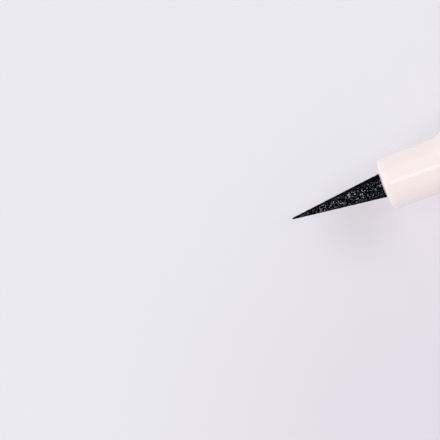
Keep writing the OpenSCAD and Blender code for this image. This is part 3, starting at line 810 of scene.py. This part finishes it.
class EYELINER_OT_cap(bpy.types.Operator):
    """Add the cap's shell, its snap sleeve and its crown"""
    bl_idname = "eyeliner.cap"
    bl_label = "Cap"

    groove_lead = 0.05 * MM  # how far the groove starts in front of the bead

    def execute(self, context):
        pieces = (
            ("cap_tube", self.shell, "glossy_ivory", "cap_shell"),
            ("cap_liner", self.sleeve, "moulded_white", "cap_sleeve"),
            ("cap_end", self.crown, "glossy_ivory", "cap_crown"))
        for name, outline, finish, node in pieces:
            points = outline(context.scene.eyeliner_cap, context.scene.eyeliner_barrel)
            finish_piece(turned(name, supported(points)), finish, "cap", node)
        return {"FINISHED"}

    def shell(self, cap, barrel):
        """Outline of the outer tube."""
        front, rear = stations("cap_shell")
        bore_r = BODY_R - cap.shell_wall
        edge = barrel.edge_radius
        return (
            mouth_edge(front, bore_r, edge)
            + band(front, rear, BODY_R, edge)
            + [(rear, bore_r), (front + edge, bore_r)])

    def sleeve(self, cap, barrel):
        """Outline of the liner, with the groove for the bead and the lip that keeps the inner cap in."""
        front, rear = stations("cap_sleeve")
        mouth = stations("cap_shell")[0]
        lip_front = stations("inner_cap_seal")[0] + RING_LEDGE
        outer_r = BODY_R - cap.shell_wall - FIT_GAP
        bore_r = outer_r - cap.sleeve_wall
        lip_r = bore_r - cap.flange
        groove = mouth + barrel.bead_offset - self.groove_lead
        groove_r = bore_r + barrel.bead_height
        third = barrel.bead_length / 3
        lip_rear = lip_front + cap.lip
        lead_in = barrel.lead_in
        return (
            [(front + lead_in, bore_r)]
            + mouth_edge(front, bore_r, lead_in, steps=6)
            + [(front, outer_r), (rear, outer_r), (rear, bore_r), (lip_rear, bore_r), (lip_rear, lip_r),
               (lip_front, lip_r), (lip_front, bore_r), (groove + third * 3, bore_r),
               (groove + third * 2, groove_r), (groove + third, groove_r), (groove, bore_r),
               (front + lead_in, bore_r)])

    def crown(self, cap, barrel):
        """Outline of the closed end, from the boss inside to the end face."""
        inside = stations("cap_shell")[1]
        spigot_front, end = stations("cap_sleeve")[1], stations("cap_crown")[1]
        spigot_r = BODY_R - cap.shell_wall - FIT_GAP
        hollow_r = spigot_r - cap.crown_wall
        boss_r = boss_radius(cap)
        return (
            [(inside - cap.boss_length, 0)]
            + front_edge(inside - cap.boss_length, boss_r, BOSS_EDGE, steps=5)
            + [(inside, boss_r), (inside, hollow_r), (spigot_front, hollow_r), (spigot_front, spigot_r),
               (inside, spigot_r)]
            + front_edge(inside, BODY_R, barrel.edge_radius)
            + rear_edge(end, BODY_R, cap.crown_radius, steps=16)
            + [(end, 0)])


def boss_radius(cap):
    """Radius of the bosses that stand in the spring."""
    return cap.coil / 2 - cap.wire / 2 - BOSS_GAP


class EYELINER_OT_cap_spring(bpy.types.Operator):
    """Add the coil spring with closed ends between the crown and the inner cap"""
    bl_idname = "eyeliner.cap_spring"
    bl_label = "Cap Spring"

    steps = 40  # points in one turn
    wire_steps = 4  # Blender's bevel resolution of the wire's round
    smooth_angle = math.radians(60)
    closed_turns = 0.9  # turns that lie flat at each end
    end_pitch = 1.04  # pitch of those turns, in wires
    keep = 0.585  # share of its length that the spring keeps when it is pressed

    def execute(self, context):
        cap = context.scene.eyeliner_cap
        low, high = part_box("cap_spring")
        turns = cap.turns + 2 * self.closed_turns
        count = round(turns * self.steps)
        first, last = low.x + cap.wire / 2, high.x - cap.wire / 2
        rise_at_end = self.closed_turns * self.end_pitch * cap.wire
        bpy.ops.object.select_all(action="DESELECT")
        bpy.ops.curve.primitive_nurbs_path_add(location=(0, 0, 0))
        coil = bpy.context.object
        coil.name = "coil_spring"
        coil.data.splines.clear()
        line = coil.data.splines.new("POLY")
        line.points.add(count)
        for i, point in enumerate(line.points):
            turn = turns * i / count
            place = first + self.rise(turn, turns, rise_at_end, last - first)
            aside = cap.coil / 2 * math.sin(math.tau * turn)
            above = cap.coil / 2 * math.cos(math.tau * turn)
            point.co = (place, aside, AXIS_Z + above, 1)
        coil.data.dimensions = "3D"
        coil.data.bevel_depth = cap.wire / 2
        coil.data.bevel_resolution = self.wire_steps
        coil.data.use_fill_caps = True
        bpy.ops.object.convert(target="MESH")
        piece = bpy.context.object
        bpy.ops.object.shade_smooth_by_angle(angle=self.smooth_angle)
        finish_piece(piece, "polished_steel", "cap", "cap_spring")
        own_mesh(piece)
        return {"FINISHED"}

    def rise(self, turn, turns, rise_at_end, span):
        """How far the wire has risen after so many turns: slowly at both ends and evenly between them."""
        if turn <= self.closed_turns:
            return rise_at_end * turn / self.closed_turns
        if turn >= turns - self.closed_turns:
            return span - rise_at_end * (turns - turn) / self.closed_turns
        share = (turn - self.closed_turns) / (turns - 2 * self.closed_turns)
        return rise_at_end + (span - 2 * rise_at_end) * share


class EYELINER_OT_inner_cap(bpy.types.Operator):
    """Add the sprung inner cap and the soft ring on its mouth"""
    bl_idname = "eyeliner.inner_cap"
    bl_label = "Inner Cap"

    flange_thickness = 0.8 * MM
    flange_edge = 0.08 * MM  # rounding of the flanges' edges
    floor_radius = 0.4 * MM  # fillet round the cup's floor
    ring_softness = 0.3  # rounding of the ring's front, as a share of its wall

    def execute(self, context):
        cap = context.scene.eyeliner_cap
        guide_r = BODY_R - cap.shell_wall - FIT_GAP - cap.sleeve_wall - cap.slide
        cup_r = guide_r - cap.flange
        bore_r = cup_r - cap.cup_wall
        outside, inside = self.cup(cap, guide_r, cup_r, bore_r)
        finish_piece(turned_hollow("inner_cup", outside, inside), "moulded_white", "inner_cap", "inner_cap")
        front, rear = stations("inner_cap_seal")
        soft = cap.cup_wall * self.ring_softness
        ring = (
            mouth_edge(front, bore_r, soft, steps=6)
            + front_edge(front, cup_r, soft, steps=6)
            + [(rear, cup_r), (rear, bore_r), (front + soft, bore_r)])
        finish_piece(turned("mouth_ring", supported(ring)), "soft_rubber", "inner_cap", "inner_cap_seal")
        return {"FINISHED"}

    def cup(self, cap, guide_r, cup_r, bore_r):
        """Outlines of the cup's outside, with a flange at each end and a boss, and of its inside."""
        mouth, boss_end = stations("inner_cap")
        end = boss_end - cap.boss_length
        floor = end - self.flange_thickness
        flange = stations("inner_cap_seal")[0] + RING_LEDGE + cap.lip
        flange_rear = flange + self.flange_thickness
        boss_r = boss_radius(cap)
        outside = (
            [(mouth, bore_r), (mouth, cup_r), (flange, cup_r)]
            + band(flange, flange_rear, guide_r, self.flange_edge, steps=4)
            + [(flange_rear, cup_r), (floor, cup_r)]
            + band(floor, end, guide_r, self.flange_edge, steps=4)
            + [(end, boss_r)]
            + rear_edge(boss_end, boss_r, BOSS_EDGE, steps=5)
            + [(boss_end, 0)])
        fillet = self.floor_radius
        corner_points = corner(floor - fillet, bore_r - fillet, fillet, 90, 0, steps=6)
        return outside, [(floor, 0)] + corner_points + [(mouth, bore_r)]


class EYELINER_OT_inner_parts(bpy.types.Operator):
    """Give the pieces inside the barrel their materials"""
    bl_idname = "eyeliner.inner_parts"
    bl_label = "Parts Inside the Barrel"

    finishes = {
        "nib_collar": "moulded_white", "overflow_sponge": "bundled_fibre", "collector": "moulded_white",
        "relay_core": "bundled_fibre", "collector_seal": "dark_rubber", "front_seal": "dark_rubber",
        "ink_tank": "milky_tank", "tank_plug": "moulded_white", "tank_plug_seal": "dark_rubber",
        "mixing_ball": "polished_steel",
    }

    def execute(self, context):
        for node, finish in self.finishes.items():
            give_finish(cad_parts[node], finish)
        return {"FINISHED"}


# The stage


class EYELINER_OT_stage(bpy.types.Operator):
    """Add the pale floor with its painted shade, shadow and pool of light, the soft lamps, the room's light
    and the photo's camera
    """
    bl_idname = "eyeliner.stage"
    bl_label = "Stage"

    # Metres
    floor_size = 16.0
    lamp_middle = (-0.03, 0.0, 0.005)  # what the lamps are set round, in the barrel's front half
    lamp_distance = 0.8  # from there to the softbox and the front lamp
    strip_distance = 0.62
    strip_shift = 0.18  # towards the cap, so that the gloss line starts behind the nozzle's rim
    softbox_size = (1.3, 1.12)
    strip_size = (0.62, 0.045)
    front_size = (0.4, 0.3)
    clip = (0.01, 40)  # nearest and farthest that the camera sees
    # Millimetres
    sensor_width = 36
    plain_floor = (150.0, 600.0)  # distances from the pen's middle over which the floor turns plain
    # Patches of painted light and shade on the floor: station, place across the pen, and the radii where one
    # starts to fade and is gone
    # Painted shade: a wide, soft, darker lilac patch in front of the nozzle
    painted_shade = (4.5, -21.0, 2.0, 35.0)
    # Painted shadow under the nib
    shade = (4.6, 0.2, 0.5, 4.6)
    # Painted pool of light under the nozzle
    painted_spill = (10.2, -1.3, 1.0, 6.6)

    room_colour = (1.0, 0.985, 1.0, 1)

    def execute(self, context):
        stage = context.scene.eyeliner_stage
        context.scene.view_settings.view_transform = "Standard"
        self.add_floor(stage)
        self.add_room(context.scene, stage)
        overhead = Vector((0, -math.cos(stage.softbox_angle), math.sin(stage.softbox_angle)))
        near_camera = Vector((0, -math.cos(stage.elevation), math.sin(stage.elevation)))
        before_nib = Vector((-math.cos(stage.front_angle), 0, math.sin(stage.front_angle)))
        self.add_lamp("softbox", stage.softbox, overhead * self.lamp_distance, self.softbox_size)
        self.add_lamp(
            "strip_lamp", stage.strip, near_camera * self.strip_distance, self.strip_size, self.strip_shift)
        self.add_lamp("front_lamp", stage.front_light, before_nib * self.lamp_distance, self.front_size)
        self.add_camera(context.scene, stage)
        return {"FINISHED"}

    def add_floor(self, stage):
        """Adds the floor, which shows the camera less shade than falls on it, and none far away, with painted
        shade in front of the nozzle, a painted shadow under the nib and a painted pool of light under the
        nozzle.
        """
        bpy.ops.object.select_all(action="DESELECT")
        bpy.ops.mesh.primitive_plane_add(size=self.floor_size)
        floor = bpy.context.object
        floor.name = "floor"
        paper = Finish("floor_paper", Specular_IOR_Level=0.1, Roughness=0.9)
        here = paper.place()
        with_painted_shade = paper.mix(self.patch(paper, here, *self.painted_shade), stage.floor, stage.floor_painted_shade)
        # The floor's colour with the painted shade and the painted shadow
        with_painted_shade_and_shadow = paper.mix(self.patch(paper, here, *self.shade), with_painted_shade, stage.floor_painted_shadow)
        paper.feed("Base Color", with_painted_shade_and_shadow)
        far = paper.ease(paper.vector("LENGTH", here, output="Value"), *self.plain_floor)
        # The painted pool of light under the nozzle, which the floor shows in place of part of its shade
        painted_spill = self.patch(paper, here, *self.painted_spill)
        glow = paper.node("ShaderNodeEmission", None, {
            "Color": paper.mix(painted_spill, paper.mix(far, with_painted_shade_and_shadow, stage.floor), stage.painted_spill)})
        shader = Socket(paper.tree, paper.shader.outputs["BSDF"])
        plain = painted_spill * stage.painted_spill_share + (1 - stage.shadow)
        share = (plain + far * (1 - plain)) * self.seen_directly(paper.tree)
        mixed = paper.node("ShaderNodeMixShader", None, {0: share, 1: shader, 2: glow})
        paper.tree.links.new(mixed.output, paper.tree.nodes["Material Output"].inputs["Surface"])
        floor.data.materials.append(paper.material)

    def patch(self, paper, here, station, across, inner, outer):
        """1 on a round patch of floor and 0 outside it."""
        middle = (NIB_POINT_X / MM + station, across, -AXIS_Z / MM)
        distance = paper.vector("DISTANCE", here, middle, output="Value")
        return paper.ease(distance, inner, outer, start=1.0, end=0.0)

    def seen_directly(self, tree):
        """1 for what the camera, a reflection or a transparent piece shows, and 0 for light."""
        path = tree.nodes.new("ShaderNodeLightPath")
        names = ("Is Camera Ray", "Is Glossy Ray", "Is Transmission Ray")
        camera, glossy, through = (Socket(tree, path.outputs[name]) for name in names)
        return camera.maths("MAXIMUM", camera.maths("MAXIMUM", camera, glossy), through)

    def add_room(self, scene, stage):
        """Adds the room's light, and a backdrop in the floor's colour for what sees it directly."""
        scene.world = bpy.data.worlds.new("room")
        scene.world.use_nodes = True
        tree = scene.world.node_tree
        tree.nodes.clear()
        seen = self.seen_directly(tree)
        direction = add_node(tree, "ShaderNodeTexCoord", output="Generated")
        height = add_node(tree, "ShaderNodeSeparateXYZ", None, {"Vector": direction}, output="Z")
        low = 1 - abs(height)
        light = add_node(tree, "ShaderNodeBackground", None, {
            "Color": self.room_colour, "Strength": stage.sky + low * low * (stage.sky * stage.horizon)})
        picture = add_node(tree, "ShaderNodeBackground", None, {"Color": (*stage.floor, 1), "Strength": 1.0})
        mixed = add_node(tree, "ShaderNodeMixShader", None, {0: seen, 1: light, 2: picture})
        output = tree.nodes.new("ShaderNodeOutputWorld")
        tree.links.new(mixed.output, output.inputs["Surface"])

    def add_lamp(self, name, brightness, place, size, shift=0.0):
        """Adds an area lamp at a place about the lamps' middle, facing it, and shifts it towards the cap."""
        direction = place.normalized()
        lamp = bpy.data.lights.new(name, "AREA")
        lamp.shape = "RECTANGLE"
        lamp.size, lamp.size_y = size
        lamp.energy = brightness * size[0] * size[1] * math.pi  # a larger lamp shines no brighter
        holder = bpy.data.objects.new(name, lamp)
        bpy.context.scene.collection.objects.link(holder)
        up = direction.cross(Vector((1, 0, 0))).normalized()
        turn = Matrix((up.cross(direction), up, direction)).transposed().to_4x4()
        middle = Vector(self.lamp_middle) + place + Vector((shift, 0, 0))
        holder.matrix_world = Matrix.Translation(middle) @ turn
        holder.visible_camera = False

    def add_camera(self, scene, stage):
        """Looks at the pen so that the nib's point lands on its pixel of the photo."""
        elevation, lean, roll = stage.elevation, stage.lean, stage.roll
        across = Vector((0, math.cos(elevation), -math.sin(elevation)))
        forward = across * math.cos(lean) - Vector((math.sin(lean), 0, 0))
        along = across * math.sin(lean) + Vector((math.cos(lean), 0, 0))
        up_slope = Vector((0, math.sin(elevation), math.cos(elevation)))
        right = along * math.cos(roll) - up_slope * math.sin(roll)
        up = along * math.sin(roll) + up_slope * math.cos(roll)
        pixel = MM / PHOTO_SCALE_PX
        point = Vector((NIB_POINT_X, 0, AXIS_Z))
        target = point - (right * POINT_RIGHT_PX + up * POINT_UP_PX) * pixel
        camera = bpy.data.cameras.new("camera")
        camera.lens = stage.lens
        camera.sensor_width = self.sensor_width
        camera.clip_start, camera.clip_end = self.clip
        distance = PHOTO_WIDTH_PX * pixel * stage.lens / camera.sensor_width
        holder = bpy.data.objects.new("camera", camera)
        scene.collection.objects.link(holder)
        turn = Matrix((right, up, -forward)).transposed().to_4x4()
        holder.matrix_world = Matrix.Translation(target - forward * distance) @ turn
        scene.camera = holder


class EYELINER_PT_panel(bpy.types.Panel):
    """Lists the pen's pieces and its stage"""
    bl_idname = "EYELINER_PT_panel"
    bl_label = "Eyeliner Pen"
    bl_space_type = "VIEW_3D"
    bl_region_type = "UI"
    bl_category = "Eyeliner Pen"

    def draw(self, context):
        for operator in OPERATORS:
            self.layout.operator(operator.bl_idname)
        for name, group in SETTINGS:
            box = self.layout.box()
            box.label(text=group.__doc__)
            for setting in group.__annotations__:
                box.prop(getattr(context.scene, name), setting)


OPERATORS = (
    EYELINER_OT_nib, EYELINER_OT_front_section, EYELINER_OT_barrel, EYELINER_OT_tail, EYELINER_OT_cap,
    EYELINER_OT_cap_spring, EYELINER_OT_inner_cap, EYELINER_OT_inner_parts, EYELINER_OT_stage,
)


def register():
    for name, group in SETTINGS:
        bpy.utils.register_class(group)
        setattr(bpy.types.Scene, name, bpy.props.PointerProperty(type=group))
    for operator in OPERATORS:
        bpy.utils.register_class(operator)
    bpy.utils.register_class(EYELINER_PT_panel)


def unregister():
    bpy.utils.unregister_class(EYELINER_PT_panel)
    for operator in reversed(OPERATORS):
        bpy.utils.unregister_class(operator)
    for name, group in reversed(SETTINGS):
        delattr(bpy.types.Scene, name)
        bpy.utils.unregister_class(group)


def main():
    """Makes every piece and the stage."""
    register()
    bpy.ops.eyeliner.nib()
    bpy.ops.eyeliner.front_section()
    bpy.ops.eyeliner.barrel()
    bpy.ops.eyeliner.tail()
    bpy.ops.eyeliner.cap()
    bpy.ops.eyeliner.cap_spring()
    bpy.ops.eyeliner.inner_cap()
    bpy.ops.eyeliner.inner_parts()
    bpy.ops.eyeliner.stage()


if __name__ == "__main__":
    main()
